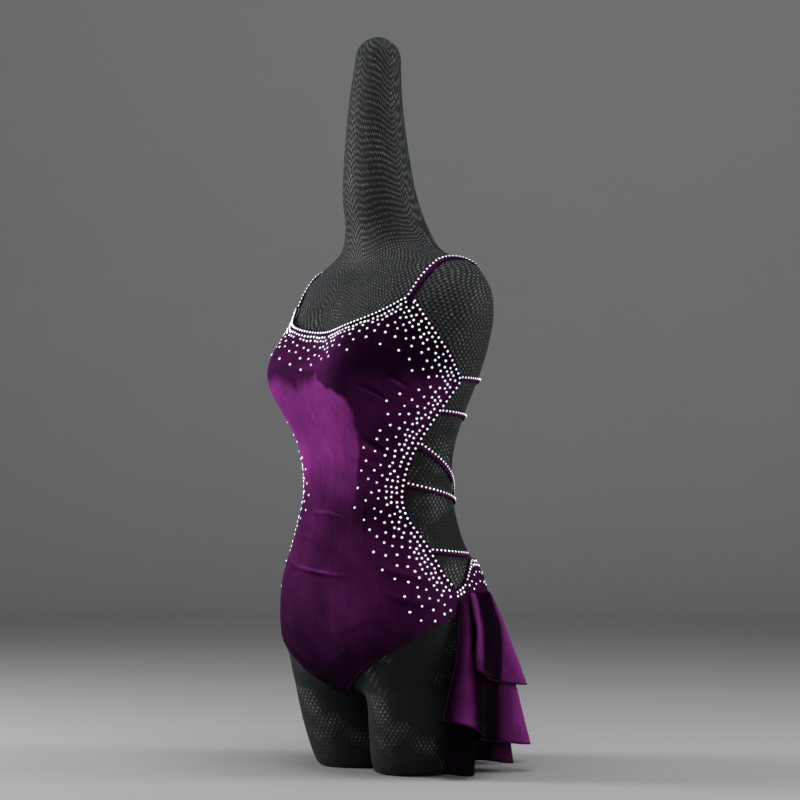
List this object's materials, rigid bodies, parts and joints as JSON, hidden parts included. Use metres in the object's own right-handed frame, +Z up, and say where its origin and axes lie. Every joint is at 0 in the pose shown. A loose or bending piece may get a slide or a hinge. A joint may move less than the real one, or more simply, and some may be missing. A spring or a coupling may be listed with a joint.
{
  "type": "salsa dance dress on a dress form",
  "caption": "Sleeveless velvet leotard dress with open strapped back and a ruffled tail, on a limbless display form that stands on its thigh stubs.",
  "frame": {"origin": "under the middle of the part's box, on the plane of the form's two standing faces", "axes": "+Z up to the top of the neck cone, -Y the way the wearer faces, +X the wearer's left"},
  "size_m": [0.3775, 0.3535, 1.025],
  "materials": {
    "velvet": "purple stretch velvet with a soft sheen",
    "dark_velvet": "near-black purple velvet",
    "form_cover": "black mesh stretched over the form"
  },
  "bodies": {
    "root": {"dress_form": "form_cover", "front_panel": "velvet", "back_panel": "velvet", "neck_binding": "dark_velvet", "side_binding_left": "dark_velvet", "side_binding_right": "dark_velvet", "ruffle_lower": "dark_velvet", "ruffle_middle": "velvet", "ruffle_upper": "velvet", "back_strap_1": "velvet", "back_strap_2": "velvet", "back_strap_3_left": "velvet", "back_strap_3_right": "velvet", "back_strap_4": "velvet", "back_strap_5_left": "velvet", "back_strap_5_right": "velvet", "shoulder_strap_left": "velvet", "shoulder_strap_right": "velvet"}
  },
  "joints": []
}
